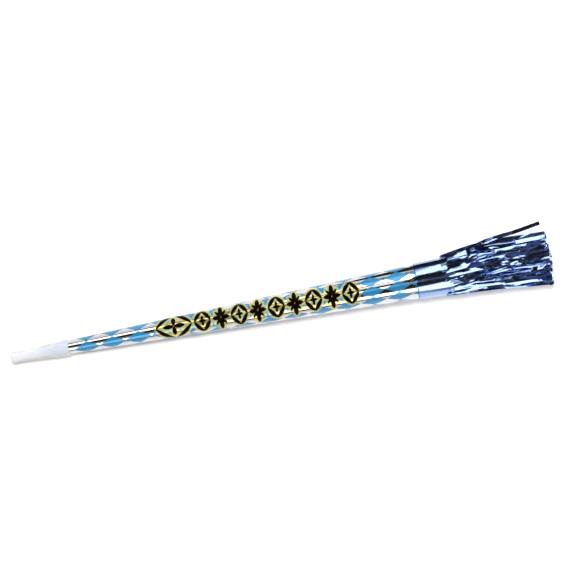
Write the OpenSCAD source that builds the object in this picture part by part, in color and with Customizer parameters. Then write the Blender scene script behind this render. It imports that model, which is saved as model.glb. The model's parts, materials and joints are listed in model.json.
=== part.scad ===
// Party horn: a reed mouthpiece on a long paper cone wrapped in foil, with a film fringe
// wound round the bell end. The horn lies on its side along +X, fringe end forward, on z = 0.

/* [Reed unit] */
// Outside diameter of the shallot, the small tube that the reed beats against
shallot_d = 5; // [4.4:0.1:5.4]
// Bore of the shallot
shallot_bore_d = 2.6; // [2:0.1:2.8]
// Closed end of the shallot
nose_t = 1; // [0.6:0.1:1.4]
// Depth that the flat for the reed is cut into the shallot
lay_depth = 0.9; // [0.7:0.05:1]
// Width of the slot under the reed
slot_w = 1.6; // [1.2:0.1:2]
// Length of the slot under the reed
slot_len = 6.5; // [5:0.1:7]
// Thickness of the brass reed
reed_t = 0.1; // [0.06:0.01:0.16]
// Width of the brass reed
reed_w = 3; // [2.4:0.1:3.2]
// Free length of the reed, from its tip to the ring that clamps it
reed_free = 8.1; // [7.6:0.1:8.4]
// Length of reed held under the ring
reed_held = 4.5; // [3.5:0.1:4.7]
// Height that the reed's tip stands open above the flat
reed_opening = 0.6; // [0.4:0.05:0.7]
// Shallot in front of the ring
shallot_free = 8.5; // [8.4:0.1:10]
// Length of the ring that clamps the reed
ring_len = 5; // [4.8:0.1:7]
// Wall of the ring
ring_wall = 0.5; // [0.4:0.05:0.7]
// How far the ring's flange stands out beyond the ring
flange_rise = 0.9; // [0.6:0.05:1]
// Thickness of the ring's flange, which stops the cone's tip
flange_t = 1; // [0.8:0.1:1.5]

/* [Mouthpiece] */
// Length of the mouthpiece
mouthpiece_len = 39; // [35:1:46]
// Diameter of the hole that is blown through
blow_hole_d = 4.6; // [3.8:0.1:5]
// Length of that hole, up to the reed chamber
blow_hole_len = 6; // [5:0.5:8]
// Air space between the hole and the shallot's nose
nose_gap = 2.5; // [1.5:0.1:4]
// Wall round the reed chamber
grip_wall = 0.75; // [0.6:0.05:1.2]
// Length of the nearly straight end that the lips hold
lip_len = 8; // [6:0.5:12]
// How much the radius falls from there to the tip
lip_fall = 0.1; // [0.05:0.05:0.3]
// Radius of the tip's rounded edge
lip_round = 0.5; // [0.3:0.05:0.6]
// Wall at the open end
rim_wall = 0.95; // [0.8:0.05:1.4]

/* [Cone] */
// Length of the rolled cone
cone_len = 267; // [220:1:300]
// Outside diameter of the wrapped cone where it leaves the mouthpiece
neck_d = 9.2; // [8.8:0.1:10.4]
// Outside diameter of the wrapped cone at its bell end
bell_d = 24.3; // [20:0.1:30]
// Wall of the rolled paperboard
board_t = 0.45; // [0.3:0.05:0.6]
// Thickness of the printed foil paper
wrap_t = 0.2; // [0.1:0.02:0.3]

/* [Fringe] */
// Width of the uncut edge of the film, wound on the bell end
band_len = 16; // [10:0.5:24]
// Thickness of all its turns together
band_t = 0.45; // [0.42:0.01:0.6]
// How far the uncut edge runs past the end of the cone
band_past = 2; // [1:0.5:4]
// Uncut film at the root of the strips
collar_len = 1.5; // [1:0.1:3]
// Length of the cut strips
strip_len = 74.4; // [50:0.1:110]
// Width of one strip
strip_w = 2.5; // [2:0.1:4]
// Width of the cut between two strips
slit_w = 0.15; // [0.1:0.05:0.4]
// Thickness of the film as modelled
film_t = 0.12; // [0.08:0.01:0.13]
// Width across the spread strips at their ends
fan_w = 38; // [32:1:50]
// Height of the spread strips above the horn's axis
fan_up = 14; // [13.5:0.5:24]
// Depth of the spread strips below the axis, before the surface under them flattens it
fan_down = 17; // [15.5:0.5:24]
// How much the strips differ in length
ragged = 3; // [1:0.5:8]
// Height of the waves along a strip
ripple = 0.5; // [0.2:0.1:1]

/* [Hidden] */
$fn = 64;

// Clearances
press_clear = 0.05;
reed_clear = 0.03;
glue_gap = 0.04;
turn_gap = 0.1;
butt_gap = 0.05;
overrun = 1;

// Stations along the horn's axis, from the lips at zero
chamber_x = blow_hole_len;
nose_x = chamber_x + nose_gap;
ring_x = nose_x + shallot_free;
shoulder_x = ring_x + ring_len;
flange_end_x = shoulder_x + flange_t;
cone_x = flange_end_x + butt_gap;
bell_x = cone_x + cone_len;
band_end_x = bell_x + band_past;
band_x = band_end_x - band_len;
fringe_x = band_end_x + turn_gap;

// Radii and heights of the reed unit and the chamber round it
lay_z = shallot_d / 2 - lay_depth;
reed_z = lay_z + reed_clear;
clamp_z = reed_z + reed_t + reed_clear;
ring_bore_r = shallot_d / 2 + press_clear;
ring_r = ring_bore_r + ring_wall;
flange_r = ring_r + flange_rise;
chamber_r = ring_r + press_clear;
grip_r = chamber_r + grip_wall;
tip_r = grip_r - lip_fall;

// Outside radius of the wrapped cone at a station
cone_slope = (bell_d - neck_d) / 2 / (bell_x - mouthpiece_len);
function cone_r(x) = neck_d / 2 + (x - mouthpiece_len) * cone_slope;
rim_r = cone_r(mouthpiece_len) + press_clear + rim_wall;
band_r = cone_r(band_end_x) + glue_gap + band_t;

// The horn rests on the mouthpiece's rim and the band's end, so its axis climbs a little
tilt = atan((band_r - rim_r) / (band_end_x - mouthpiece_len));
rest_h = rim_r * cos(tilt) - mouthpiece_len * sin(tilt);
strip_x = fringe_x + collar_len;
fringe_end_x = strip_x + strip_len;
function surface_z(x) = -rim_r - (x - mouthpiece_len) * tan(tilt);

// Strips of the fringe
stations = 8;
arc_steps = 6;
reed_steps = 4;
turns = 3;
root_r = band_r - film_t / 2;
inner_root_r = root_r - (turns - 1) * (film_t + turn_gap);
strips = floor(180 / asin((strip_w + slit_w) / 2 / inner_root_r));
fan_step_angle = 2;
golden_turn = 137.5;
ripple_waves = 1.5;
middle_share = 0.68;
inner_share = 0.38;
outer_twist_angle = 10;
middle_twist_angle = 50;
inner_twist_angle = 80;
// Sides between two sections of a strip. Its broad faces are split along the same diagonal,
// so a twisted strip keeps its thickness.
sides = [[0, 1, 5, 4], [1, 2, 6, 5], [3, 7, 6, 2], [3, 0, 4, 7]];

module lying() {
    translate([-fringe_end_x * cos(tilt) / 2, 0, rest_h]) rotate([0, -tilt, 0]) children();
}

// A cone or cylinder along the axis between two stations
module frustum(x0, x1, r0, r1) {
    translate([x0, 0, 0]) rotate([0, 90, 0]) cylinder(h = x1 - x0, r1 = r0, r2 = r1);
}

// A tube that follows the cone's taper, its radii set off from the wrapped cone's outside
module cone_shell(x0, x1, outer_off, inner_off) {
    difference() {
        frustum(x0, x1, cone_r(x0) + outer_off, cone_r(x1) + outer_off);
        frustum(x0 - overrun, x1 + overrun, cone_r(x0 - overrun) + inner_off,
                cone_r(x1 + overrun) + inner_off);
    }
}

module mouthpiece() {
    lip = [for (k = [0 : arc_steps]) let (a = 90 * k / arc_steps)
        [tip_r - lip_round * (1 - sin(a)), lip_round * (1 - cos(a))]];
    color("#f0f3fb") lying() difference() {
        rotate([0, 90, 0]) rotate_extrude() polygon(concat(
            [[0, 0]], lip,
            [[grip_r, lip_len], [rim_r, mouthpiece_len], [0, mouthpiece_len]]));
        frustum(-overrun, chamber_x + overrun, blow_hole_d / 2, blow_hole_d / 2);
        frustum(chamber_x, shoulder_x + overrun, chamber_r, chamber_r);
        frustum(shoulder_x, mouthpiece_len + overrun, cone_r(shoulder_x) + press_clear,
                cone_r(mouthpiece_len + overrun) + press_clear);
    }
}

module reed_shallot() {
    color("#e8e4da") lying() difference() {
        frustum(nose_x, flange_end_x, shallot_d / 2, shallot_d / 2);
        frustum(nose_x + nose_t, flange_end_x + overrun, shallot_bore_d / 2, shallot_bore_d / 2);
        translate([nose_x - overrun, -shallot_d, lay_z])
            cube([flange_end_x - nose_x + 2 * overrun, 2 * shallot_d, shallot_d]);
        translate([nose_x + nose_t, -slot_w / 2, 0]) cube([slot_len, slot_w, shallot_d]);
    }
}

// The reed curls open towards its tip and lies flat under the ring
module reed_tongue() {
    curl = [for (k = [0 : reed_steps]) let (share = 1 - k / reed_steps)
        [ring_x - reed_free * share, reed_opening * share * share]];
    under = concat(curl, [[ring_x + reed_held, 0]]);
    over = [for (k = [len(under) - 1 : -1 : 0]) under[k] + [0, reed_t]];
    color("#c9a552") lying() translate([0, 0, reed_z]) rotate([90, 0, 0])
        linear_extrude(height = reed_w, center = true) polygon(concat(under, over));
}

// The ring's bore is flattened over the reed, which it presses on the shallot
module reed_ring() {
    color("#d6d8d2") lying() difference() {
        union() {
            frustum(ring_x, flange_end_x, ring_r, ring_r);
            frustum(shoulder_x, flange_end_x, flange_r, flange_r);
        }
        intersection() {
            frustum(ring_x - overrun, flange_end_x + overrun, ring_bore_r, ring_bore_r);
            translate([ring_x - overrun, -shallot_d, clamp_z - 2 * shallot_d])
                cube([flange_end_x - ring_x + 2 * overrun, 2 * shallot_d, 2 * shallot_d]);
        }
    }
}

module cone_core() {
    color("#b9a88c") lying()
        cone_shell(cone_x, bell_x, -wrap_t - glue_gap, -wrap_t - glue_gap - board_t);
}

module foil_wrap() {
    color("#a9bccf") lying() cone_shell(cone_x, bell_x, 0, -wrap_t);
}

module fringe_band() {
    color("#28508c") lying() cone_shell(band_x, band_end_x, glue_gap + band_t, glue_gap);
}

// How far the strips have spread at a share of their length
function spread(u) = 1 - (1 - u) * (1 - u);
function mix(a, b, share) = a + (b - a) * share;

// Middle of the outer turn's film at station x, share u and angle a from the top
function fan(x, u, a) = let (
    half_h = mix(root_r, cos(a) > 0 ? fan_up : fan_down, spread(u)),
    half_w = mix(root_r, fan_w / 2, spread(u)))
    [half_w * sin(a), max(half_h * cos(a), surface_z(x) + film_t / 2)];

// The four corners of a strip's section, held above the surface under the horn
function strip_ring(x, u, a, size, twist, lift) = let (
    ahead = fan(x, u, a + fan_step_angle),
    behind = fan(x, u, a - fan_step_angle),
    along = (ahead - behind) / norm(ahead - behind),
    out = [-along[1], along[0]],
    turned = along * cos(twist) + out * sin(twist),
    face = out * cos(twist) - along * sin(twist),
    middle = fan(x, u, a) * size + out * lift,
    floor_z = surface_z(x))
    [for (c = [[-1, 1], [1, 1], [1, -1], [-1, -1]]) let (
        p = middle + turned * c[0] * strip_w / 2 + face * c[1] * film_t / 2,
        low = c[1] > 0 ? floor_z : floor_z + film_t)
        [x, p[0], max(p[1], low)]];

// One turn of cut film, counted inwards: a collar of uncut film and the strips that spread
// from it, in one solid
module fringe_turn(index, end_share, end_twist) {
    root_share = (root_r - index * (film_t + turn_gap)) / root_r;
    rings = [for (i = [0 : strips - 1]) let (
            a = 360 * (i + index / 2) / strips,
            len_i = strip_len - ragged * abs(sin(i * golden_turn)))
        for (j = [-1 : stations]) let (
            u = max(j, 0) / stations,
            x = j < 0 ? fringe_x : strip_x + len_i * u)
        strip_ring(x, u, a, mix(root_share, end_share, spread(u)), end_twist * sin(90 * u),
                   ripple * u * sin(360 * ripple_waves * u + i * golden_turn))];
    points = [for (ring = rings) each ring];
    quads = [for (i = [0 : strips - 1]) let (
            b = i * (stations + 2) * 4,
            n = ((i + 1) % strips) * (stations + 2) * 4,
            e = b + (stations + 1) * 4)
        each concat(
            [for (j = [1 : stations]) for (side = sides) [for (k = side) b + 4 * j + k]],
            [[b, b + 1, b + 5, b + 4], [b + 3, b + 7, b + 6, b + 2], [b + 3, b + 2, b + 1, b]],
            [[b + 1, n, n + 4, b + 5], [n + 3, b + 2, b + 6, n + 7]],
            [[b + 2, n + 3, n, b + 1], [b + 5, n + 4, n + 7, b + 6]],
            [[e, e + 1, e + 2, e + 3]])];
    polyhedron(points, [for (q = quads) each [[q[0], q[1], q[2]], [q[0], q[2], q[3]]]]);
}

module fringe_outer_turn() {
    color("#2f62a8") lying() fringe_turn(0, 1, outer_twist_angle);
}

module fringe_middle_turn() {
    color("#28508c") lying() fringe_turn(1, middle_share, middle_twist_angle);
}

module fringe_inner_turn() {
    color("#1f3a66") lying() fringe_turn(2, inner_share, inner_twist_angle);
}

mouthpiece();
reed_shallot();
reed_tongue();
reed_ring();
cone_core();
foil_wrap();
fringe_band();
fringe_outer_turn();
fringe_middle_turn();
fringe_inner_turn();
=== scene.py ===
"""Party horn: a moulded reed mouthpiece on a foil-wrapped cone with a metallic film fringe.

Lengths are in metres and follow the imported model's frame. The horn's own coordinates run along
its axis from the lips, across it, and upward from it; place() turns them into the frame's.
"""

import json
import math

import bpy
import numpy as np
from bpy.props import FloatProperty, FloatVectorProperty, IntProperty, PointerProperty
from mathutils import Matrix


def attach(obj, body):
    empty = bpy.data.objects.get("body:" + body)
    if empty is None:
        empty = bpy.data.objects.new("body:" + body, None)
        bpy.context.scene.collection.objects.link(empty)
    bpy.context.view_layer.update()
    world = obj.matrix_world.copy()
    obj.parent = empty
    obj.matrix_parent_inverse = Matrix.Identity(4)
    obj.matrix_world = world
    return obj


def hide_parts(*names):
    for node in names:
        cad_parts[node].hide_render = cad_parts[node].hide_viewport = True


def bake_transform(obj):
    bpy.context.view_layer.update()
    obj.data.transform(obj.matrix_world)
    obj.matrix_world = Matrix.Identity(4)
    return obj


bl_info = {
    "name": "Party Horn",
    "version": (1, 0, 0),
    "blender": (4, 5, 0),
    "location": "3D View > Sidebar > Party Horn",
    "description": "Builds the dressed model of a party horn with a film fringe",
    "category": "Object",
}

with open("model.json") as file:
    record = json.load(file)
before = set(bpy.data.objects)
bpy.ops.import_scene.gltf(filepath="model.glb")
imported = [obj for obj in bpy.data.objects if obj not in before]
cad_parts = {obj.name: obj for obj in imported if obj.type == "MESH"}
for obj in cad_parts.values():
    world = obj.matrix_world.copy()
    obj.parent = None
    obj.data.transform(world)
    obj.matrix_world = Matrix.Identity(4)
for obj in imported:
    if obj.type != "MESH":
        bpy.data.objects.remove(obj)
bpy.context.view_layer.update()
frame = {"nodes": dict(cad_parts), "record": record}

MM = 0.001
TURN = 2 * math.pi

# Mouthpiece: stations from the lips, and radii
LIP_LEN = 8 * MM
TIP_R = 3.75 * MM
GRIP_R = 3.85 * MM
RIM_R = 5.6 * MM
MOUTHPIECE_LEN = 39 * MM
BLOW_HOLE_R = 2.3 * MM
CHAMBER_X = 6 * MM
CHAMBER_R = 3.1 * MM
RING_X = 17 * MM
SHOULDER_X = 22 * MM
BORE_PLAY = 0.05 * MM

# Cone
CONE_X = 23.05 * MM
BELL_X = 290.05 * MM
NECK_R = 4.6 * MM
BELL_R = 12.15 * MM
CONE_SLOPE = (BELL_R - NECK_R) / (BELL_X - MOUTHPIECE_LEN)
CONE_STRETCH = math.hypot(1, CONE_SLOPE)
APEX_X = MOUTHPIECE_LEN - NECK_R / CONE_SLOPE

# Foil wrap
PAPER_T = 0.09 * MM
LAP_WIDE = 4 * MM
PLEATS_END_X = 44 * MM
ROW_X = 95 * MM
ROW_END_X = 242 * MM

# Fringe: the wound band, and the strips cut past it
BAND_X = 276.05 * MM
BAND_END_X = 292.05 * MM
BAND_T = 0.45 * MM
GLUE_T = 0.04 * MM
STRIP_X = 293.65 * MM
STRIP_LEN = 74.4 * MM

# Stage: the height of the horn's middle, and where the stage's sheets change their angles,
# which is at the neck, before the bell, at the bell and at the fringe's end
HORN_Z = 12 * MM
SHEET_X = (-130 * MM, 60 * MM, 100 * MM, 180 * MM)
SHEET_ENDS = (-900 * MM, 900 * MM)


def linear(code):
    """Scene-linear red, green and blue of an sRGB hex colour."""
    parts = [int(code[i:i + 2], 16) / 255 for i in (1, 3, 5)]
    return tuple(p / 12.92 if p <= 0.04045 else ((p + 0.055) / 1.055) ** 2.4 for p in parts)


def colour_property(name, description, code):
    """A colour that a user may change, from the sRGB hex code of its default."""
    return FloatVectorProperty(name=name, description=description, subtype="COLOR",
                               size=3, min=0, max=1, default=linear(code))


def length_property(name, description, size):
    """A length that a user may change, from its default in metres."""
    return FloatProperty(name=name, description=description, unit="LENGTH",
                         min=0, default=size)


class MouthpieceSettings(bpy.types.PropertyGroup):
    """Finish and edges of the mouthpiece"""
    plastic: colour_property("Plastic", "Colour of the moulded mouthpiece", "#eaeefe")
    shown: colour_property("Print below", "Colour of the cone as it shows through", "#d0dcfd")
    lip_round: length_property("Lip rounding", "Radius of the edge at the lips", 0.9 * MM)
    rim_round: length_property("Rim rounding", "Radius of the edge at the open end", 0.3 * MM)


class ReedSettings(bpy.types.PropertyGroup):
    """Colours of the hidden reed parts"""
    shallot: colour_property("Shallot", "Colour of the tube under the reed", "#e8e4da")
    ring: colour_property("Ring", "Colour of the ring that clamps the reed", "#d6d8d2")
    brass: colour_property("Reed", "Colour of the brass reed", "#d9b45e")


class WrapSettings(bpy.types.PropertyGroup):
    """Colours and print of the foil paper, and the board under it"""
    board: colour_property("Board", "Colour of the rolled paperboard", "#b9a88c")
    foil: colour_property("Foil", "Colour of the metal foil", "#cfcfd2")
    blue: colour_property("Lozenges", "Blue ink of the lozenges", "#2887bb")
    black: colour_property("Ornament", "Black ink of the ornament row", "#140b06")
    gold: colour_property("Halo", "Clear gold ink round the ornaments", "#fff59c")
    lozenge_len: length_property("Lozenge length", "Lozenge from tip to tip", 17.67 * MM)
    lozenge_wide: length_property("Lozenge width", "Lozenge from side to side", 7.2 * MM)
    halo: length_property("Halo width", "Gold edge round the black ink", 1.4 * MM)


class FringeSettings(bpy.types.PropertyGroup):
    """Colours, cut and crumpling of the film"""
    film: colour_property("Film", "Colour of the metallised film", "#96aedc")
    # The wound edge's darker blue is painted shade: it stands in for the dark line of shade and
    # reflection along the film's edge at the band
    edge: colour_property("Wound edge", "Colour of the film's glued edge", "#3c74b4")
    strips: IntProperty(name="Strips", description="Strips in one turn of film",
                        min=8, max=60, default=30)
    strip_wide: length_property("Strip width", "Width of one cut strip", 2.56 * MM)
    film_t: length_property("Film thickness", "Thickness of the film as modelled", 0.06 * MM)
    crumple: length_property("Crumple", "Height of the ripples along a strip", 0.2 * MM)
    seed: IntProperty(name="Seed", description="Start of the random crumpling",
                      min=0, default=42)


class StageSettings(bpy.types.PropertyGroup):
    """Floor and light"""
    floor: colour_property("Floor", "Colour of the sweep under the horn", "#f4f4f4")
    strip_lamp: FloatProperty(name="Strip lamps", description="Radiance of the strip lamps",
                              min=0, default=3.4)
    key_lamp: FloatProperty(name="Key lamp", description="Radiance of the key lamp",
                            min=0, default=26.5)
    fill_lamp: FloatProperty(name="Fill lamp", description="Radiance of the fill lamp",
                             min=0, default=0.6)
    overhead: FloatProperty(name="Overhead", description="Brightest level of the dark ceiling",
                            min=0, default=0.55)


def horn_axes():
    """The lips' centre, and the directions along the horn and upward from it."""
    hole = next(m for m in frame["record"]["mounts"] if m["name"] == "blow_hole")
    along = -np.array(hole["axis"], float)
    along /= np.linalg.norm(along)
    across = np.array((0.0, 1.0, 0.0))
    return np.array(hole["pos_m"], float), along, across, np.cross(along, across)


def place(points):
    """Points given along, across and upward from the horn's axis, in the frame."""
    lips, along, across, upward = horn_axes()
    points = np.asarray(points, float).reshape(-1, 3)
    return lips + points @ np.array((along, across, upward))


def cone_r(x):
    """Outside radius of the wrapped cone at a station."""
    return NECK_R + (x - MOUTHPIECE_LEN) * CONE_SLOPE


def smooth(share):
    """A share from 0 to 1, with a soft start and a soft end."""
    share = np.clip(share, 0, 1)
    return share * share * (3 - 2 * share)


def eased(s, stations, values):
    """Values met at stations, with a smooth passage from each one to the next."""
    k = np.clip(np.searchsorted(stations, s, side="right") - 1, 0, len(stations) - 2)
    share = smooth((s - stations[k]) / (stations[k + 1] - stations[k]))
    return values[k] + (values[k + 1] - values[k]) * share


def add_mesh(name, points, faces, material, shade_smooth=True):
    """A mesh object from points in the frame."""
    mesh = bpy.data.meshes.new(name)
    mesh.from_pydata(np.asarray(points).tolist(), [], [tuple(map(int, f)) for f in faces])
    mesh.validate()
    mesh.materials.append(material)
    mesh.polygons.foreach_set("use_smooth", [shade_smooth] * len(mesh.polygons))
    piece = bpy.data.objects.new(name, mesh)
    bpy.context.scene.collection.objects.link(piece)
    return piece


def thicken(piece, thickness, offset, sharp):
    """Gives a sheet its thickness, and keeps every edge sharper than an angle in degrees
    crisp."""
    solid = piece.modifiers.new("thickness", "SOLIDIFY")
    solid.thickness = thickness
    solid.offset = offset
    shape = piece.evaluated_get(bpy.context.evaluated_depsgraph_get())
    piece.data = bpy.data.meshes.new_from_object(shape)
    piece.modifiers.clear()
    piece.data.set_sharp_from_angle(angle=math.radians(sharp))


def add_attribute(piece, name, values):
    """Gives every point of a piece a number that its material reads."""
    attribute = piece.data.attributes.new(name, "FLOAT", "POINT")
    attribute.data.foreach_set("value", np.asarray(values, np.float32).ravel())


def grid_faces(rows, columns, closed=False):
    """Quads of a grid of points, whose columns may close into a ring."""
    r, c = np.meshgrid(np.arange(rows - 1), np.arange(columns if closed else columns - 1),
                       indexing="ij")
    after = (c + 1) % columns
    return np.stack([r * columns + c, r * columns + after,
                     (r + 1) * columns + after, (r + 1) * columns + c], -1).reshape(-1, 4)


def add_turned(name, x, r, angles, material, sharp):
    """A solid turned about the horn's axis. Its profile is closed: the last ring joins the
    first. Every edge sharper than an angle in degrees stays crisp."""
    points = np.stack([x, r * np.sin(angles), r * np.cos(angles)], -1)
    rows, segments = x.shape
    faces = grid_faces(rows + 1, segments, closed=True) % (rows * segments)
    piece = add_mesh(name, place(points), faces, material)
    piece.data.set_sharp_from_angle(angle=math.radians(sharp))
    return piece


def add_node(tree, kind, inputs=None, **settings):
    """A new node with its settings. An input is a value, or a node whose live output feeds it."""
    node = tree.nodes.new(kind)
    for name, value in settings.items():
        setattr(node, name, value)
    for name, value in (inputs or {}).items():
        socket = next(s for s in node.inputs if s.enabled and s.name == name) \
            if isinstance(name, str) else node.inputs[name]
        if isinstance(value, bpy.types.Node):
            value = next(s for s in value.outputs if s.enabled)
        if isinstance(value, bpy.types.NodeSocket):
            tree.links.new(value, socket)
        else:
            socket.default_value = value
    return node


def new_material(name):
    """A material, with its node tree and its shader."""
    material = bpy.data.materials.new(name)
    material.use_nodes = True
    tree = material.node_tree
    shader = tree.nodes["Principled BSDF"]
    return material, tree, shader


def rgba(colour):
    """A colour with the alpha that sockets ask for."""
    return (*colour, 1.0)


def background_rays(tree):
    """A node that is 1 for the rays that see the background, from the camera, in a mirror or
    through clear plastic, and 0 for the rays that light the horn."""
    path = add_node(tree, "ShaderNodeLightPath")
    seen = add_node(tree, "ShaderNodeMath", {0: path.outputs["Is Camera Ray"],
                                             1: path.outputs["Is Glossy Ray"]}, operation="ADD")
    return add_node(tree, "ShaderNodeMath", {0: seen, 1: path.outputs["Is Transmission Ray"]},
                    operation="ADD", use_clamp=True)


def toned_material(name, colour, dark, cells, detail):
    """A material whose colour varies down to a darker share of it. Cells are the number of
    light and dark patches in a metre each way."""
    material, tree, shader = new_material(name)
    spot = add_node(tree, "ShaderNodeTexCoord").outputs["Object"]
    drawn = add_node(tree, "ShaderNodeMapping", {"Vector": spot, "Scale": cells})
    patches = add_node(tree, "ShaderNodeTexNoise", {"Vector": drawn, "Scale": 1.0,
                                                    "Detail": detail})
    ramp = add_node(tree, "ShaderNodeValToRGB", {"Fac": patches})
    ramp.color_ramp.elements[0].color = rgba([c * dark for c in colour])
    ramp.color_ramp.elements[1].color = rgba(colour)
    tree.links.new(ramp.outputs["Color"], shader.inputs["Base Color"])
    return material, tree, shader, patches


def ldpe_moulded():
    """Milky polyethylene from a polished mould: a satin skin over a cloudy, see-through wall."""
    settings = bpy.context.scene.horn_mouthpiece
    material, tree, shader = new_material("ldpe_moulded")
    spot = add_node(tree, "ShaderNodeTexCoord").outputs["Object"]
    # The melt's flow lines run along the tube, about 4 mm long and 1 mm wide
    flow = add_node(tree, "ShaderNodeMapping", {
        "Vector": spot, "Scale": (1 / (4 * MM), 1 / MM, 1 / MM)})
    streaks = add_node(tree, "ShaderNodeTexNoise", {"Vector": flow, "Scale": 1.0, "Detail": 3.0})
    streak_tone = 0.93
    tone = add_node(tree, "ShaderNodeMix", {
        "Factor": streaks, "A": rgba(settings.plastic),
        "B": rgba([c * streak_tone for c in settings.plastic])}, data_type="RGBA")
    # The printed cone inside shows through the wall as a cool, streaky shade
    over_cone = add_node(tree, "ShaderNodeAttribute", attribute_name="over_cone").outputs["Fac"]
    show = add_node(tree, "ShaderNodeMapRange", {0: streaks, 1: 0.35, 2: 0.65, 3: 0.35, 4: 1.0})
    show = add_node(tree, "ShaderNodeMath", {0: over_cone, 1: show}, operation="MULTIPLY")
    tone = add_node(tree, "ShaderNodeMix", {"Factor": show, "A": tone,
                                            "B": rgba(settings.shown)}, data_type="RGBA")
    tree.links.new(tone.outputs[2], shader.inputs["Base Color"])
    # The mould's polish left a grain of about 0.7 mm in the skin
    grain = add_node(tree, "ShaderNodeTexNoise", {"Vector": spot, "Scale": 1.5 / MM,
                                                  "Detail": 2.0})
    bump = add_node(tree, "ShaderNodeBump", {"Height": grain, "Strength": 0.15,
                                             "Distance": 0.05 * MM})
    tree.links.new(bump.outputs[0], shader.inputs["Normal"])
    shader.inputs["Roughness"].default_value = 0.42
    shader.inputs["IOR"].default_value = 1.51
    shader.inputs["Transmission Weight"].default_value = 0.2
    shader.inputs["Subsurface Weight"].default_value = 0.9
    shader.inputs["Subsurface Radius"].default_value = (1.0, 1.0, 1.2)
    shader.inputs["Subsurface Scale"].default_value = 1.3 * MM
    return material


def plastic_moulded(name, colour, roughness):
    """Opaque moulded plastic of the hidden reed parts: even, with pigment clouds about 2.5 mm
    wide."""
    material, _, shader, _ = toned_material(name, colour, 0.92, (0.4 / MM,) * 3, 3.0)
    shader.inputs["Roughness"].default_value = roughness
    return material


def brass_rolled():
    """Rolled brass strip: warm metal with rolling lines along the reed, about 10 mm long and
    0.12 mm apart."""
    colour = bpy.context.scene.horn_reed.brass
    material, _, shader, _ = toned_material("brass_rolled", colour, 0.8,
                                            (0.1 / MM, 8 / MM, 8 / MM), 2.0)
    shader.inputs["Metallic"].default_value = 1.0
    shader.inputs["Roughness"].default_value = 0.28
    return material


def greyboard_rolled():
    """Recycled paperboard: matt, with pale and dark fibres about 1 mm long and 0.2 mm wide."""
    colour = bpy.context.scene.horn_wrap.board
    material, tree, shader, fibres = toned_material("greyboard_rolled", colour, 0.7,
                                                    (1 / MM, 5 / MM, 5 / MM), 4.0)
    bump = add_node(tree, "ShaderNodeBump", {"Height": fibres, "Strength": 0.3,
                                             "Distance": 0.05 * MM})
    tree.links.new(bump.outputs[0], shader.inputs["Normal"])
    shader.inputs["Roughness"].default_value = 0.9
    return material


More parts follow.
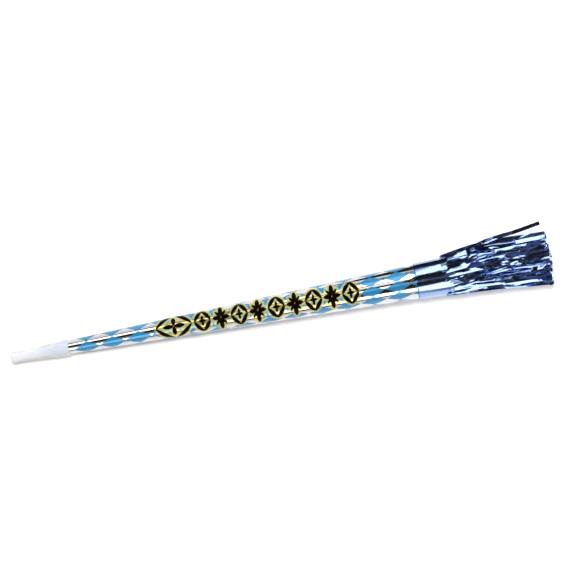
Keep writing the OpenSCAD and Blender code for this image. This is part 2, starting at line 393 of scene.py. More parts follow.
def foil_paper_printed():
    """Aluminium foil on paper, gravure printed: a mirror with nearly opaque blue lozenges,
    black ornaments that let no highlight through and a gold ink that tints what it covers."""
    settings = bpy.context.scene.horn_wrap
    material, tree, shader = new_material("foil_paper_printed")
    along, across, ink_gap = [
        add_node(tree, "ShaderNodeAttribute", attribute_name=name).outputs["Fac"]
        for name in ("sheet_along", "sheet_across", "ink_gap")]

    # Distance to the nearest lozenge's middle in each direction, in half lozenges
    lengths = add_node(tree, "ShaderNodeMath", {0: along, 1: settings.lozenge_len},
                       operation="DIVIDE")
    widths = add_node(tree, "ShaderNodeMath", {0: across, 1: settings.lozenge_wide},
                      operation="DIVIDE")
    from_end = add_node(tree, "ShaderNodeMath", {0: lengths, 1: 0.5}, operation="PINGPONG")
    from_side = add_node(tree, "ShaderNodeMath", {0: widths, 1: 0.5}, operation="PINGPONG")
    reach = add_node(tree, "ShaderNodeMath", {0: from_end, 1: from_side}, operation="ADD")
    # Each ink's edge is drawn over 0.1 to 0.3 mm, so that it stays smooth at any size
    blue_soft = 0.008
    black_soft = 0.05 * MM
    gold_soft = 0.15 * MM
    blue = add_node(tree, "ShaderNodeMapRange", {0: reach, 1: 0.5 - blue_soft,
                                                 2: 0.5 + blue_soft, 3: 1.0, 4: 0.0})
    # The sheet has a plain margin at the neck, and its print starts there with a whole lozenge
    printed = add_node(tree, "ShaderNodeMath", {0: lengths, 1: -0.5}, operation="GREATER_THAN")
    blue = add_node(tree, "ShaderNodeMath", {0: blue, 1: printed}, operation="MULTIPLY")
    black = add_node(tree, "ShaderNodeMapRange", {0: ink_gap, 1: -black_soft, 2: black_soft,
                                                  3: 1.0, 4: 0.0})
    gold = add_node(tree, "ShaderNodeMapRange", {0: ink_gap, 1: settings.halo - gold_soft,
                                                 2: settings.halo + gold_soft, 3: 1.0, 4: 0.0})

    spot = add_node(tree, "ShaderNodeTexCoord").outputs["Object"]
    # The blue ink's tone varies in clouds about 3 mm wide
    clouds = add_node(tree, "ShaderNodeTexNoise", {"Vector": spot, "Scale": 0.3 / MM,
                                                   "Detail": 3.0})
    dark_tone, light_tone = 0.92, 1.06
    ink_tone = add_node(tree, "ShaderNodeMix", {
        "Factor": clouds, "A": rgba([c * dark_tone for c in settings.blue]),
        "B": rgba([min(1, c * light_tone) for c in settings.blue])}, data_type="RGBA")
    # Under the gold ink the blue was printed thinner
    thin_share = 0.4
    thinned = add_node(tree, "ShaderNodeMath", {0: gold, 1: thin_share - 1, 2: 1.0},
                       operation="MULTIPLY_ADD")
    blue_share = add_node(tree, "ShaderNodeMath", {0: blue, 1: thinned}, operation="MULTIPLY")
    ground = add_node(tree, "ShaderNodeMix", {"Factor": blue_share, "A": rgba(settings.foil),
                                              "B": ink_tone}, data_type="RGBA")
    gilt = add_node(tree, "ShaderNodeMix", {"Factor": gold, "A": ground,
                                            "B": rgba(settings.gold)},
                    data_type="RGBA", blend_type="MULTIPLY")
    colour = add_node(tree, "ShaderNodeMix", {"Factor": black, "A": gilt,
                                              "B": rgba(settings.black)}, data_type="RGBA")
    tree.links.new(colour.outputs[2], shader.inputs["Base Color"])

    # Blue and gold leave a share of the foil's mirror, and they are rougher than bare foil
    blue_mirror, gold_mirror = 0.32, 0.7
    past_blue = add_node(tree, "ShaderNodeMath", {0: blue, 1: blue_mirror - 1, 2: 1.0},
                         operation="MULTIPLY_ADD")
    past_gold = add_node(tree, "ShaderNodeMath", {0: gold, 1: gold_mirror - 1, 2: 1.0},
                         operation="MULTIPLY_ADD")
    mirror = add_node(tree, "ShaderNodeMath", {0: past_blue, 1: past_gold}, operation="MULTIPLY")
    mirror = add_node(tree, "ShaderNodeMath", {0: mirror, 1: black}, operation="MAXIMUM")
    tree.links.new(mirror.outputs[0], shader.inputs["Metallic"])
    foil_rough, blue_adds, black_adds = 0.09, 0.15, 0.4
    roughness = add_node(tree, "ShaderNodeMath", {0: blue, 1: blue_adds, 2: foil_rough},
                         operation="MULTIPLY_ADD")
    roughness = add_node(tree, "ShaderNodeMath", {0: black, 1: black_adds, 2: roughness},
                         operation="MULTIPLY_ADD")
    tree.links.new(roughness.outputs[0], shader.inputs["Roughness"])
    # The blue ink dries to a clear skin that gives it a whitish gloss of its own
    gloss = add_node(tree, "ShaderNodeMath", {0: blue, 1: black}, operation="SUBTRACT",
                     use_clamp=True)
    tree.links.new(gloss.outputs[0], shader.inputs["Coat Weight"])
    shader.inputs["Coat Roughness"].default_value = 0.15
    shader.inputs["Coat IOR"].default_value = 1.4
    # Paper fibres under the foil raise it in grains about 1 mm across
    fibre = add_node(tree, "ShaderNodeTexNoise", {"Vector": spot, "Scale": 0.9 / MM,
                                                  "Detail": 2.0})
    bump = add_node(tree, "ShaderNodeBump", {"Height": fibre, "Strength": 0.08,
                                             "Distance": 0.03 * MM})
    tree.links.new(bump.outputs[0], shader.inputs["Normal"])
    return material


def pet_film_metallised(name, colour):
    """Blue metallised polyester film, slit and crumpled: a tinted mirror with fine wrinkles,
    whose tint varies in clouds about 5 mm wide."""
    material, tree, shader, _ = toned_material(name, colour, 0.92, (0.18 / MM,) * 3, 2.0)
    spot = add_node(tree, "ShaderNodeTexCoord").outputs["Object"]
    # Handling wrinkles run along the strips, about 5 mm long and 1.2 mm apart
    drawn = add_node(tree, "ShaderNodeMapping", {"Vector": spot,
                                                 "Scale": (0.2 / MM, 0.8 / MM, 0.8 / MM)})
    wrinkle = add_node(tree, "ShaderNodeTexNoise", {"Vector": drawn, "Scale": 1.0, "Detail": 2.0})
    bump = add_node(tree, "ShaderNodeBump", {"Height": wrinkle, "Strength": 0.3,
                                             "Distance": 0.08 * MM})
    tree.links.new(bump.outputs[0], shader.inputs["Normal"])
    shader.inputs["Metallic"].default_value = 1.0
    shader.inputs["Roughness"].default_value = 0.12
    return material


def stroke_gap(points, start, middle, end, nib):
    """Distance from points to a curved pen stroke, pointed at both ends and two nibs wide in
    its middle."""
    share = np.linspace(0, 1, 33)[:, None]
    line = (1 - share) ** 2 * start + 2 * share * (1 - share) * middle + share ** 2 * end
    half = nib * np.sin(math.pi * share[:, 0]) ** 0.6
    reach = np.linalg.norm(points[:, None, :] - line[None], axis=2) - half[None]
    return reach.min(1)


def flower(tall, wide, nib, core=0.5):
    """Four petals round a core, as strokes in millimetres."""
    for way, length in (((0, 1), tall), ((0, -1), tall), ((1, 0), wide), ((-1, 0), wide)):
        start, end = [(way[0] * reach, way[1] * reach) for reach in (core, length)]
        middle = ((start[0] + end[0]) / 2, (start[1] + end[1]) / 2)
        yield start, middle, end, nib


def leaves(tall, wide, nib, core=0.9, bend=0.6):
    """Four small leaves between the petals of a flower, as strokes in millimetres."""
    for across in (-1, 1):
        for up in (-1, 1):
            yield ((core * across, core * up), (wide * across * bend, tall * up * bend),
                   (wide * across, tall * up), nib)


def lozenge_frame(tall, wide, nib, bend=0.52):
    """The outline of a lozenge, as four swelling strokes in millimetres."""
    for across in (-1, 1):
        for up in (-1, 1):
            yield ((wide * across, 0), (wide * across * bend, tall * up * bend),
                   (0, tall * up), nib)


def ornament_row(across_middle):
    """Every stroke of the row, in the sheet's own coordinates: a large framed flower, then
    flowers and lozenges in turn. The motifs' sizes and places are in millimetres."""
    large_middle, first_middle, pitch, count = 111.5, 131.0, 12.6, 9
    large = [*lozenge_frame(10.6, 12.4, 1.45), *flower(6.4, 7.2, 1.5)]
    small_flower = [*flower(9.0, 5.4, 1.5), *leaves(4.6, 3.6, 0.9)]
    small_frame = [*lozenge_frame(8.0, 5.5, 1.4), *flower(3.6, 2.2, 0.9, 0.2)]
    row = [(large_middle, large)]
    row += [(first_middle + pitch * k, small_flower if k % 2 else small_frame)
            for k in range(count)]
    for middle, motif in row:
        station = (middle * MM - APEX_X) * CONE_STRETCH
        for start, bend, end, nib in motif:
            yield (*[np.array((station + p[0] * MM, across_middle - p[1] * MM))
                     for p in (start, bend, end)], nib * MM)


def wrap_stations():
    """Stations of the wrap's rings: close together at the pleats and under the ornaments."""
    spans = [(CONE_X, MOUTHPIECE_LEN, 8), (MOUTHPIECE_LEN, PLEATS_END_X, 20),
             (PLEATS_END_X, ROW_X, 50), (ROW_X, ROW_END_X, 300), (ROW_END_X, BELL_X, 50)]
    return np.concatenate([np.linspace(a, b, n, endpoint=False) for a, b, n in spans]
                          + [[BELL_X]])


def wrap_relief(x, radius, angle):
    """How far the foil stands off its cone: soft dents all over, the core's seam and the pleats
    at the mouthpiece."""
    # Each of the six dents is a wave 22 to 60 mm long with one to four lobes round the cone
    rng = np.random.default_rng(5)
    dent = np.zeros_like(angle)
    for _ in range(6):
        wave = rng.uniform(22, 60) * MM
        lobes = rng.integers(1, 5)
        dent += np.sin(TURN * x / wave + rng.uniform(0, TURN)) * np.sin(
            lobes * angle + rng.uniform(0, TURN))
    dent_depth = 0.05 * MM
    dent = dent_depth * (dent / np.abs(dent).max() + 1) / 2
    # The wrap lies flat where the mouthpiece and the film hold it
    ease = 4 * MM
    free = smooth((x - MOUTHPIECE_LEN) / ease) * smooth((BAND_X - x) / ease)
    # The core's seam shows through the foil as a soft ridge that grows toward the bell
    seam_high, seam_wide, seam_angle = 0.4 * MM, 0.85 * MM, math.radians(-10)
    seam_x, seam_grows = 80 * MM, 120 * MM
    seam = seam_high * smooth((x - seam_x) / seam_grows) * free
    seam = seam * np.exp(-((angle - seam_angle) * radius / seam_wide) ** 2)
    # Small pleats where the paper was squeezed into the mouthpiece, on the upper far side
    pleat_wide, pleat_deep, pleat_x, pleat_len = 0.75 * MM, 0.14 * MM, 41 * MM, 1.4 * MM
    pleat_angle, pleat_spread = -0.85, 0.35
    pleats = (np.sin(TURN * angle * radius / pleat_wide) * 0.5 + 0.5) * pleat_deep
    pleats = pleats * np.exp(-((x - pleat_x) / pleat_len) ** 2) * np.exp(
        -((angle - pleat_angle) / pleat_spread) ** 2) * (x > MOUTHPIECE_LEN)
    return seam - dent * free - pleats


def foil_wrap(material):
    """The printed foil paper, rolled once round the cone with its lap underneath."""
    columns = 150
    x = wrap_stations()[:, None]
    share = np.linspace(0, 1, columns)[None, :]
    radius = cone_r(x)
    angle = -math.pi + share * (TURN + LAP_WIDE / radius)
    # The sheet's first edge goes down by a paper's thickness under its last one
    from_start = (angle + math.pi) * radius
    step_down, step_len = PAPER_T + 0.01 * MM, 2 * MM
    under_lap = step_down * (1 - smooth((from_start - LAP_WIDE) / step_len))
    r = radius - under_lap + wrap_relief(x, radius, angle)
    points = np.stack([np.broadcast_to(x, r.shape), -r * np.sin(angle), r * np.cos(angle)], -1)
    piece = add_mesh("foil_wrap_printed", place(points), grid_faces(len(x), columns)[:, ::-1],
                     material)

    # Places on the flat sheet, from the point where the cone would end
    slant = (x - APEX_X) * CONE_STRETCH
    turned = angle * CONE_SLOPE / CONE_STRETCH
    along, across = slant * np.cos(turned), slant * np.sin(turned)
    # The rows of lozenges start on the near side, drift over the sheet and are wider at the neck
    first_lozenge, row_side, row_drift = 165.7 * MM, 2.6 * MM, 0.0068
    neck_share, narrow_x, narrow_len = 0.78, 90 * MM, 60 * MM
    past_first = along - first_lozenge
    from_row = across - row_side + past_first * row_drift
    narrow = neck_share + (1 - neck_share) * smooth((x - narrow_x) / narrow_len)
    add_attribute(piece, "sheet_along", past_first)
    add_attribute(piece, "sheet_across", from_row * narrow)

    # Distance to the nearest stroke of an ornament, told apart only where one is near
    ornament_side, far_off, motif_reach = -0.8 * MM, 20 * MM, 16 * MM
    sheet = np.stack([along, across], -1).reshape(-1, 2)
    gap = np.full(len(sheet), far_off)
    for start, bend, end, nib in ornament_row(ornament_side):
        near = np.linalg.norm(sheet - (start + end) / 2, axis=1) < motif_reach
        gap[near] = np.minimum(gap[near], stroke_gap(sheet[near], start, bend, end, nib))
    add_attribute(piece, "ink_gap", gap)
    thicken(piece, PAPER_T, offset=-1, sharp=40)
    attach(piece, "horn")
    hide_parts("foil_wrap")
    return piece


def mouthpiece(material):
    """The moulded mouthpiece, turned from a profile that runs out of the blow hole, along the
    outside and back in to the reed chamber."""
    settings = bpy.context.scene.horn_mouthpiece
    lip, rim = settings.lip_round, settings.rim_round
    inner_lip = lip / 2
    bend = np.linspace(0, math.pi / 2, 10)
    start, end = 1 - np.cos(bend), 1 - np.sin(bend)
    grip_x = np.linspace(lip, LIP_LEN, 8)[1:-1]
    body_x = np.linspace(LIP_LEN, MOUTHPIECE_LEN - rim, 40)
    profile = np.concatenate([
        np.column_stack((inner_lip * end, BLOW_HOLE_R + inner_lip * start)),
        np.column_stack((lip * start, TIP_R - lip * end)),
        np.column_stack((grip_x, np.interp(grip_x, (0, LIP_LEN), (TIP_R, GRIP_R)))),
        np.column_stack((body_x, np.interp(body_x, (LIP_LEN, MOUTHPIECE_LEN), (GRIP_R, RIM_R)))),
        np.column_stack((MOUTHPIECE_LEN - rim * end, RIM_R - rim * start))[1:],
        [(MOUTHPIECE_LEN, cone_r(MOUTHPIECE_LEN) + BORE_PLAY),
         (SHOULDER_X, cone_r(SHOULDER_X) + BORE_PLAY), (SHOULDER_X, CHAMBER_R),
         (CHAMBER_X, CHAMBER_R), (CHAMBER_X, BLOW_HOLE_R)]])
    angles = np.linspace(0, TURN, 96, endpoint=False)
    x, r = [column[:, None] + 0 * angles for column in profile.T]
    # The mould's parting line stands up as a fine ridge on both sides of the tube
    ridge_high, ridge_spread, ridge_end, skin_r = 0.05 * MM, 0.05, 1 * MM, 3.5 * MM
    side = np.minimum(np.abs(angles - math.pi / 2), np.abs(angles - 1.5 * math.pi))
    outer = (x > ridge_end) & (r > skin_r) & (x < MOUTHPIECE_LEN - ridge_end)
    r = r + ridge_high * np.exp(-(side / ridge_spread) ** 2) * outer
    piece = add_turned("mouthpiece_moulded", x, r, angles, material, sharp=40)
    # The cone inside shows from the reed's ring on, and fully 9 mm further
    show_len = 9 * MM
    add_attribute(piece, "over_cone", smooth((x - RING_X) / show_len))
    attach(piece, "horn")
    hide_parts("mouthpiece")
    return piece


class FilmTurn:
    """One turn of film cut into strips. Its points form a grid: rows run along the horn, and
    each strip has its own columns."""

    # Points across a strip, rows along it, and rows of ripples along it
    across = 5
    strip_rows = 84
    ripple_rows = 18

    # Creases: their half length, the stretches between them in millimetres, how far they run
    # aslant, and how much the film twists from one to the next
    fold = 0.3 * MM
    stretch = (9, 30)
    stretches = 9
    aslant = 2.2
    twist = math.radians(9)

    # Spread past the root: outward to the far side and back in, outward to the near side, the
    # radius reached above and below the axis, and the sag at the sides
    far_bulge = 4.7 * MM
    far_return = 1.3 * MM
    near_bulge = 4.8 * MM
    top_r = 14 * MM
    low_r = 17 * MM
    sag = 4 * MM

    # Wandering of a strip's creases, aside and up: at random, and in all by its end
    wander = 0.7 * MM
    lift = 0.5 * MM
    end_lift = 1.5 * MM
    own_wander = 4.2 * MM
    shared_wander = 3.0 * MM

    # Share of the winding's lean that the film keeps past each crease, on the far side and on
    # the near side, and the spread of a strip's own lean
    far_kept = 0.8
    near_kept = 0.5
    own_lean = math.radians(3)

    # The one strip that came loose on the far side: its place among the strips, the shares of
    # its length where it leaves them and lifts, how far it goes off and up, and how much it
    # keeps of the winding's lean and of its own tilts
    stray_place = 0.215
    stray_leaves = 0.38
    stray_lifts = 0.3
    stray_off = 11.5 * MM
    stray_up = 4 * MM
    stray_kept = 0.2
    stray_tilts = 0.4

    def __init__(self, rng, root_r, start_x, share, tilt, level):
        self.settings = bpy.context.scene.horn_fringe
        self.rng = rng
        self.root_r = root_r
        self.start_x = start_x
        self.share = share
        self.tilt = tilt
        self.level = level
        self.strips = self.settings.strips

    def fan(self, u, angle):
        """How far film at an angle from the top toward the far side has spread from its root.
        The horn was laid down from the near side, so it bulges further on the far side."""
        # The far side has bulged by about the middle and then comes back in, and the near side
        # bulges more and more toward the cut end
        bulged, returns, near_curve = 0.55, 0.45, 1.8
        far = self.far_bulge * np.sin(math.pi / 2 * np.clip(u / bulged, 0, 1))
        far -= self.far_return * smooth((u - returns) / (1 - returns))
        near = self.near_bulge * u ** near_curve
        sideways = np.where(np.sin(angle) > 0, far, near)
        reached = np.where(np.cos(angle) > 0, self.top_r, self.low_r)
        upward = (reached - self.root_r) * (1 - (1 - u) ** 2)
        sag = self.sag * smooth(u) * np.sin(angle) ** 2
        return sideways * np.sin(angle), upward * np.cos(angle) - sag

    def plan(self, held, wander):
        """Creases of a strip past its held root: their stations, and for each one the tilt of
        the flat stretch that follows it and how far the strip lies aside and lifted there."""
        rng = self.rng
        # The stretches get shorter toward the cut end
        first, last = 1.2, 0.5
        stretches = rng.uniform(*self.stretch, self.stretches) * np.linspace(
            first, last, self.stretches)
        stations = held + np.concatenate([[0], np.cumsum(stretches)]) * MM
        count = len(stations)
        share = (stations - held) / (STRIP_LEN - held)
        aside = share * rng.normal(0, wander) + rng.normal(0, self.wander, count)
        lift = share * rng.normal(0, self.end_lift) + rng.normal(0, self.lift, count)
        aside[0] = lift[0] = 0
        return {"stations": stations, "tilts": rng.normal(0, self.tilt, count),
                "twists": rng.normal(0, self.twist, count), "aside": aside, "lift": lift,
                "skew": rng.uniform(-self.aslant, self.aslant) * MM}

    def rows_of(self, length, creases):
        """Stations of a strip's rows, with one on either side of each crease."""
        rows, step = np.linspace(0, length, self.strip_rows, retstep=True)
        for station in creases:
            i = round(station / step)
            if 0 < i < self.strip_rows - 2:
                rows[i:i + 2] = station - self.fold, station + self.fold
        return rows

    def midline(self, s, u, angle, group_angle, plan, stray):
        """The middle of a strip at its rows."""
        out = np.array((0, math.sin(angle), math.cos(angle)))
        lateral = np.array((0, math.cos(angle), -math.sin(angle)))
        # Inner turns spread less, and the spread takes a little off every strip's reach
        size = 1 + (self.share - 1) * (1 - (1 - u) ** 2)
        reach = 0.992
        spread_y, spread_z = self.fan(u, group_angle)
        middle = np.stack([STRIP_X + s * reach, (self.root_r * out[1] + spread_y) * size,
                           (self.root_r * out[2] + spread_z) * size], -1)
        middle += eased(s, plan["stations"], plan["aside"])[:, None] * lateral
        # At the sides of the bundle the strips hold closer together
        side_share = 0.3
        loose = side_share + (1 - side_share) * abs(math.cos(group_angle))
        middle += loose * eased(s, plan["stations"], plan["lift"])[:, None] * out
        if stray:
            middle[:, 1] += np.maximum(0, u - self.stray_leaves) * self.stray_off
            middle[:, 2] += np.maximum(0, u - self.stray_lifts) * self.stray_up
        return middle, out, lateral

    def strip(self, angle, group_angle, plan, stray):
        """Points of one strip, rows along it and columns across it."""
        rng = self.rng
        creases = plan["stations"]
        uneven = 3 * MM
        length = STRIP_LEN - uneven * (1 if stray else rng.uniform() ** 1.5)
        s = self.rows_of(length, creases)
        middle, out, lateral = self.midline(s, s / length, angle, group_angle, plan, stray)
        along = np.gradient(middle, s, axis=0)
        along /= np.linalg.norm(along, axis=1)[:, None]

        # Past each crease the film lies at a tilt of its own, and keeps less of the winding's
        lean = (angle + math.pi) % TURN - math.pi
        if abs(lean) > math.pi / 2:
            lean -= math.copysign(math.pi, lean)
        side_kept = self.far_kept if math.sin(angle) > 0 else self.near_kept
        kept = self.stray_kept if stray else side_kept
        tilts = plan["tilts"] * (self.stray_tilts if stray else 1)
        tilts += lean * kept ** np.arange(1, len(creases) + 1)
        tilts += rng.normal(0, self.own_lean, len(tilts))
        knots = np.stack([creases - self.fold, creases + self.fold], 1).ravel()
        before = np.concatenate([[lean], (tilts + plan["twists"])[:-1]])
        turns = np.stack([before, tilts], 1).ravel()
        turn = (lean - np.interp(s, knots, turns))[:, None]
        free = np.clip((s - creases[0]) / (2 * self.fold) + 0.5, 0, 1)[:, None, None]

        wide = lateral * np.cos(turn) + out * np.sin(turn)
        wide -= along * np.sum(wide * along, 1)[:, None]
        wide /= np.linalg.norm(wide, axis=1)[:, None]
        face = np.cross(along, wide)
        # Creases run aslant across the strip, apart from its root and its cut end
        square_len = 6 * MM
        slant = plan["skew"] * np.clip(np.minimum(s, length - s) / square_len, 0, 1)
        v = np.linspace(-1, 1, self.across)
        half = self.settings.strip_wide / 2
        # Across, the strip keeps the winding's curve at its root and has a faint bow further on
        faint_bow = 0.06
        bow = half ** 2 / 2 / self.root_r * (1 - free) + rng.normal(0, faint_bow) * MM * free
        # Ripples cross it a little aslant
        ripple_skew = 3
        ripple = np.interp(s[:, None] + rng.uniform(-ripple_skew, ripple_skew) * MM * v,
                           np.linspace(0, length, self.ripple_rows),
                           rng.normal(0, self.settings.crumple, self.ripple_rows))
        row = (wide * half + along * slant[:, None])[:, None, :] * v[:, None]
        raised = ripple[:, :, None] * free - bow * v[:, None] ** 2
        return middle[:, None, :] + row + face[:, None, :] * raised

    def strips_in_groups(self, pitch, offset):
        """The strips' points. The one to three strips of a group still cling together, so they
        share their spread and, but for those that came loose, their creases."""
        rng = self.rng
        # Millimetres that the winding still holds, and the share of strips that came loose
        held = (0.5, 7) if self.level == 0 else (0.5, 6)
        own_share = 0.6
        strips = []
        while len(strips) < self.strips:
            first = len(strips)
            count = min(int(rng.integers(1, 4)), self.strips - first)
            group_angle = offset + (first + (count - 1) / 2) * pitch
            root = rng.uniform(*held) * MM
            shared = self.plan(root, self.shared_wander)
            for i in range(first, first + count):
                own = rng.uniform() < own_share
                plan = self.plan(root, self.own_wander) if own else shared
                stray = self.level == 0 and i == round(self.strips * self.stray_place)
                strips.append(self.strip(offset + i * pitch, group_angle, plan, stray))
        return strips

    def build(self):
        """Grid of points, and faces that leave the slits open past the uncut film."""
        row_step = 1 * MM
        rows_in = max(2, int((STRIP_X - self.start_x) / row_step))
        pitch = TURN / self.strips
        half = self.settings.strip_wide / 2 / self.root_r
        offset = self.level * pitch / 2
        columns = self.strips * self.across
        cut = np.concatenate(self.strips_in_groups(pitch, offset), 1)
        angles = np.concatenate([offset + i * pitch + half * np.linspace(-1, 1, self.across)
                                 for i in range(self.strips)])
        # The uncut film follows the cone up to the band's end, and is straight past it
        x = np.linspace(self.start_x, STRIP_X, rows_in, endpoint=False)[:, None]
        r = self.root_r + np.minimum(cone_r(x), cone_r(BAND_END_X)) - cone_r(BAND_END_X)
        uncut = np.stack([np.broadcast_to(x, (rows_in, columns)), r * np.sin(angles),
                          r * np.cos(angles)], -1)
        points = np.concatenate([uncut, cut])
        faces = grid_faces(len(points), columns, closed=True)
        row, column = (faces[:, 0] // columns), (faces[:, 0] % columns)
        slit = (column % self.across == self.across - 1) & (row >= rows_in)
        return points.reshape(-1, 3), faces[~slit]


def film_piece(name, turns, material, replaced):
    """A piece of one or more turns of film."""
    rest_z, level_z, bend_len = 0.08 * MM, 0.09 * MM, 24 * MM
    points, faces, count = [], [], 0
    for turn in turns:
        turn_points, turn_faces = turn.build()
        turn_points = place(turn_points)
        # Strips that reach the floor lie on it, those of inner turns on those of outer ones
        turn_points[:, 2] = np.maximum(turn_points[:, 2], rest_z + level_z * turn.level)
        points.append(turn_points)
        faces.append(turn_faces + count)
        count += len(turn_points)
    piece = add_mesh(name, np.concatenate(points), np.concatenate(faces), material)
    thicken(piece, turns[0].settings.film_t, offset=0, sharp=18)
    tuple(place([(STRIP_X, 0, 0)])[0])
    tuple(place([(STRIP_X + bend_len, 0, 0)])[0])
    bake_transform(piece)
    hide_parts(*replaced)
    return piece


def film_winding(material):
    """The inner layers of wound film, whose edges show at both ends of the band."""
    layers = 5
    skin, step, flank = 0.1 * MM, 0.06 * MM, 0.2 * MM
    angles = np.linspace(0, TURN, 128, endpoint=False)
    top = BAND_T - skin
    # Each layer was wound a little out of line, so the edge is stepped
    edge = [(BAND_X + step * (k % 2), GLUE_T + top * (k + 0.5) / layers) for k in range(layers)]
    profile = np.array([(BAND_X, GLUE_T), *edge, (BAND_X + flank, GLUE_T + top),
                        (BAND_END_X, GLUE_T + top), (BAND_END_X, GLUE_T)])
    x, gap = [column[:, None] + 0 * angles for column in profile.T]
    piece = add_turned("film_winding", x, cone_r(x) + gap, angles, material, sharp=30)
    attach(piece, "horn")
    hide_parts("fringe_band")
    return piece


class HORN_OT_mouthpiece(bpy.types.Operator):
    """Build the moulded mouthpiece"""
    bl_idname = "horn.mouthpiece"
    bl_label = "Mouthpiece"

    def execute(self, context):
        mouthpiece(ldpe_moulded())
        return {"FINISHED"}


class HORN_OT_reed_unit(bpy.types.Operator):
    """Give the reed, its shallot and its ring their finishes"""
    bl_idname = "horn.reed_unit"
    bl_label = "Reed unit"

    def execute(self, context):
        settings = context.scene.horn_reed
        finishes = {
            "reed_shallot": plastic_moulded("polystyrene_moulded", settings.shallot, 0.4),
            "reed_ring": plastic_moulded("polypropylene_moulded", settings.ring, 0.5),
            "reed_tongue": brass_rolled(),
        }
        for node, material in finishes.items():
            frame["nodes"][node].data.materials.clear()
            frame["nodes"][node].data.materials.append(material)
        return {"FINISHED"}


class HORN_OT_cone(bpy.types.Operator):
    """Build the printed foil wrap, and give the paperboard cone its finish"""
    bl_idname = "horn.cone"
    bl_label = "Cone"

    def execute(self, context):
        core = frame["nodes"]["cone_core"].data
        core.materials.clear()
        core.materials.append(greyboard_rolled())
        foil_wrap(foil_paper_printed())
        return {"FINISHED"}


class HORN_OT_fringe(bpy.types.Operator):
    """Build the wound film and its cut strips"""
    bl_idname = "horn.fringe"
    bl_label = "Fringe"

    def execute(self, context):
        settings = context.scene.horn_fringe
        film = pet_film_metallised("pet_film_metallised", settings.film)
        # The winding's film takes the darker edge colour, painted shade for the dark line where
        # the winding shows at the band
        film_winding(pet_film_metallised("pet_film_painted_edge_shade", settings.edge))
        root_r = cone_r(BAND_END_X) + GLUE_T + BAND_T - settings.film_t / 2
        # The outer turn leaves a thin line of the winding in view, dark with its painted shade,
        # and the others start past it
        line_wide, turn_gap = 0.7 * MM, 0.1 * MM
        outer_x, inner_x = BAND_X + line_wide, BAND_END_X + turn_gap
        # Each piece's node, and each of its turns' share of the spread and tilts in degrees
        pieces = [("film_outer_turn", "fringe_outer_turn", [(1.0, 35)]),
                  ("film_middle_turns", "fringe_middle_turn", [(0.88, 34), (0.74, 36)]),
                  ("film_inner_turns", "fringe_inner_turn", [(0.55, 40), (0.34, 40)])]
        rng = np.random.default_rng(settings.seed)
        level = 0
        for name, node, looks in pieces:
            turns = []
            for share, tilt in looks:
                turns.append(FilmTurn(rng, root_r - level * turn_gap,
                                      inner_x if level else outer_x, share,
                                      math.radians(tilt), level))
                level += 1
            film_piece(name, turns, film, [node])
        return {"FINISHED"}


def sweep_material():
    """Matt white paper sweep. Camera and mirror rays also see light of its own, a little under
    the horn so that its shadow stays, least by the lips, and full white away from it."""
    settings = bpy.context.scene.horn_stage
    material, tree, shader = new_material("paper_sweep_matt")
    spot = add_node(tree, "ShaderNodeTexCoord").outputs["Object"]
    lips_x, near, far = -180 * MM, 120 * MM, 1000 * MM
    away = add_node(tree, "ShaderNodeVectorMath", {0: spot, 1: (lips_x, 0.0, 0.0)},
                    operation="DISTANCE")
    level = add_node(tree, "ShaderNodeMapRange", {0: away.outputs["Value"], 1: near, 2: far,
                                                  3: 0.07, 4: 1.0})
    glow = add_node(tree, "ShaderNodeMath", {0: background_rays(tree), 1: level},
                    operation="MULTIPLY")
    tree.links.new(glow.outputs[0], shader.inputs["Emission Strength"])
    shader.inputs["Emission Color"].default_value = (1, 1, 1, 1)
    shader.inputs["Base Color"].default_value = rgba(settings.floor)
    shader.inputs["Specular IOR Level"].default_value = 0
    shader.inputs["Roughness"].default_value = 1.0
    return material


def card_material():
    """Matt black card: it takes the floor's white out of the mirrors that face it."""
    material, _, shader, _ = toned_material("black_card_matt", linear("#1c1c1c"), 0.42,
                                            (0.9 / MM,) * 3, 2.0)
    shader.inputs["Roughness"].default_value = 0.95
    return material


def glowing_material(name, scale, low, high, low_tint, high_tint):
    """A surface that gives off light, in patches between two levels and two tints."""
    material, tree, shader = new_material(name)
    tree.nodes.remove(shader)
    spot = add_node(tree, "ShaderNodeTexCoord").outputs["Object"]
    patches = add_node(tree, "ShaderNodeTexNoise", {"Vector": spot, "Scale": scale,
                                                    "Detail": 1.0})
    # About half of it stays at the low level, and the patches rise from there
    start, tinted, full = 0.5, 0.62, 0.68
    level = add_node(tree, "ShaderNodeMapRange", {0: patches, 1: start, 2: full,
                                                  3: low, 4: high})
    tint = add_node(tree, "ShaderNodeValToRGB", {"Fac": patches})
    for element, position, code in zip(tint.color_ramp.elements, (start, tinted),
                                       (low_tint, high_tint)):
        element.position = position
        element.color = rgba(linear(code))
    glow = add_node(tree, "ShaderNodeEmission", {"Color": tint, "Strength": level})
    tree.links.new(glow.outputs[0], tree.nodes["Material Output"].inputs["Surface"])
    return material


def show_in_mirrors(piece):
    """Keeps a part of the stage out of every view but the mirrors'."""
    piece.visible_camera = piece.visible_diffuse = False
    piece.visible_transmission = piece.visible_shadow = False


def vault(name, reach, near, far, material, span=SHEET_ENDS):
    """A sheet bent round the horn at a distance, and stretched along it. Its edges are angles in
    degrees from straight overhead toward the far side, one for each of SHEET_X."""
    x = np.linspace(*span, 91)[:, None]
    near, far = [np.radians(np.interp(x, SHEET_X, edge)) for edge in (near, far)]
    angle = near + (far - near) * np.linspace(0, 1, 25)
    points = np.stack([x + 0 * angle, reach * np.sin(angle), HORN_Z + reach * np.cos(angle)], -1)
    sheet = add_mesh(name, points.reshape(-1, 3), grid_faces(*angle.shape), material, False)
    show_in_mirrors(sheet)


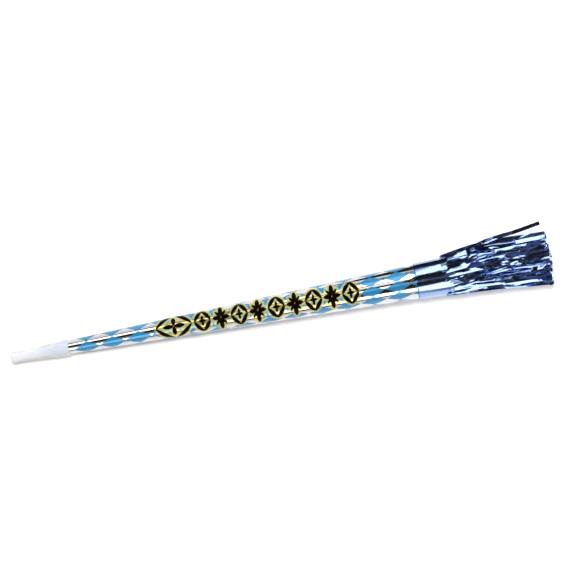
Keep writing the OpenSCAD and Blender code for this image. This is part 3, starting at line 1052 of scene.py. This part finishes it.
def area_lamp(name, aim, distance, size, radiance):
    """A soft box at an angle from straight overhead, toward the far side. It lights matt
    surfaces and stays out of the mirrors."""
    data = bpy.data.lights.new(name, "AREA")
    data.shape = "SQUARE"
    data.size = size
    data.energy = radiance * math.pi * size ** 2
    lamp = bpy.data.objects.new(name, data)
    bpy.context.scene.collection.objects.link(lamp)
    tilt = Matrix.Rotation(-math.radians(aim), 3, "X")
    lamp.rotation_euler = tilt.to_euler()
    lamp.location = tilt @ Matrix.Translation((0, 0, distance)).to_translation()
    lamp.visible_camera = lamp.visible_glossy = False
    return lamp


def mirror_sheets(settings):
    """Soft boxes and a dim ceiling, which make the stripes on foil and film."""
    lit = glowing_material("diffuser_cloth_lit", 5.0, 0.85 * settings.strip_lamp,
                           settings.strip_lamp, "#ffffff", "#ffffff")
    lamp_reach, middle_reach, ceiling_reach = 450 * MM, 440 * MM, 700 * MM
    vault("lamp_far", lamp_reach, (24, 34, 40, 50), (44, 54, 80, 74), lit)
    vault("lamp_near", lamp_reach, (-52, -62, -74, -66), (-24, -44, -32, -42), lit)
    vault("lamp_middle", middle_reach, (-7,) * 4, (3,) * 4, lit, (-100 * MM, 50 * MM))
    # The ceiling is grey over the foil and blue over the film
    split_x = 100 * MM
    for name, tint, span in (("ceiling_grey", "#dcd4cc", (SHEET_ENDS[0], split_x)),
                             ("ceiling_blue", "#a8b8f4", (split_x, SHEET_ENDS[1]))):
        dim = glowing_material(name, 4.0, 0.05 * settings.overhead, settings.overhead,
                               "#dcd4cc", tint)
        vault(name, ceiling_reach, (-68, -72, -92, -92), (56, 74, 92, 92), dim, span)


def dark_card():
    """A card that leans outward along the far side of the fringe, and ends in a point."""
    point_x, start_x, end_x = 20 * MM, 92 * MM, 260 * MM
    low, high = np.array((36, 0.5)) * MM, np.array((60, 26)) * MM
    middle = (low + high) / 2
    card = add_mesh("dark_card", [(point_x, *middle), (start_x, *low), (start_x, *high),
                                  (end_x, *low), (end_x, *high)],
                    [(0, 1, 2), (1, 3, 4, 2)], card_material(), False)
    show_in_mirrors(card)


def studio_world():
    """White where the background is seen, and a dim warm grey as light."""
    world = bpy.data.worlds.new("studio")
    world.use_nodes = True
    tree = world.node_tree
    tree.nodes.clear()
    seen = background_rays(tree)
    dark = add_node(tree, "ShaderNodeBackground", {"Color": rgba(linear("#dcd4cc")),
                                                   "Strength": 0.1})
    white = add_node(tree, "ShaderNodeBackground", {"Color": (1, 1, 1, 1), "Strength": 1.0})
    mix = add_node(tree, "ShaderNodeMixShader", {0: seen, 1: dark, 2: white})
    out = add_node(tree, "ShaderNodeOutputWorld", {"Surface": mix})
    out.is_active_output = True
    return world


def overhead_camera():
    """The camera, straight above the horn and turned so that the horn rises to the right."""
    view_wide = 383.7 * MM
    height = 1600 * MM
    data = bpy.data.cameras.new("camera")
    data.lens = data.sensor_width * height / view_wide
    camera = bpy.data.objects.new("camera", data)
    bpy.context.scene.collection.objects.link(camera)
    camera.location = (6.3 * MM, 12.8 * MM, HORN_Z + height)
    camera.rotation_euler = (0, 0, math.radians(-10.74))
    return camera


class HORN_OT_stage(bpy.types.Operator):
    """Set out the floor, lamps, world and camera"""
    bl_idname = "horn.stage"
    bl_label = "Stage"

    def execute(self, context):
        scene = context.scene
        settings = scene.horn_stage
        half = 4000 * MM
        floor = add_mesh("sweep", [(-half, -half, 0), (half, -half, 0), (half, half, 0),
                                   (-half, half, 0)], [(0, 1, 2, 3)], sweep_material(), False)
        area_lamp("lamp_key", 15, 1200 * MM, 400 * MM, settings.key_lamp)
        fill = area_lamp("lamp_fill", 0, 1300 * MM, 3000 * MM, settings.fill_lamp)
        fill.data.color = linear("#fff6ec")
        mirror_sheets(settings)
        dark_card()
        scene.world = studio_world()
        scene.camera = overhead_camera()
        scene.view_settings.view_transform = "Standard"
        return {"FINISHED"}


class HORN_PT_panel(bpy.types.Panel):
    """Lists the horn's pieces and their settings"""
    bl_label = "Party Horn"
    bl_idname = "HORN_PT_panel"
    bl_space_type = "VIEW_3D"
    bl_region_type = "UI"
    bl_category = "Party Horn"

    def draw(self, context):
        for group, settings, operator in STEPS:
            box = self.layout.box()
            box.operator(operator)
            for name in settings.__annotations__:
                box.prop(getattr(context.scene, group), name)


# Each scene property with its settings and the operator that it serves, in building order
STEPS = [("horn_mouthpiece", MouthpieceSettings, "horn.mouthpiece"),
         ("horn_reed", ReedSettings, "horn.reed_unit"),
         ("horn_wrap", WrapSettings, "horn.cone"),
         ("horn_fringe", FringeSettings, "horn.fringe"),
         ("horn_stage", StageSettings, "horn.stage")]
CLASSES = [*[settings for _, settings, _ in STEPS], HORN_OT_mouthpiece, HORN_OT_reed_unit,
           HORN_OT_cone, HORN_OT_fringe, HORN_OT_stage, HORN_PT_panel]


def register():
    """Registers the classes, and gives the scene their settings."""
    for cls in CLASSES:
        bpy.utils.register_class(cls)
    for name, settings, _ in STEPS:
        setattr(bpy.types.Scene, name, PointerProperty(type=settings))


def unregister():
    """Takes away what register() added."""
    for name, _, _ in STEPS:
        delattr(bpy.types.Scene, name)
    for cls in reversed(CLASSES):
        bpy.utils.unregister_class(cls)


def main():
    """Builds the horn and its stage."""
    register()
    for _, _, operator in STEPS:
        group, name = operator.split(".")
        getattr(getattr(bpy.ops, group), name)()


if __name__ == "__main__":
    main()
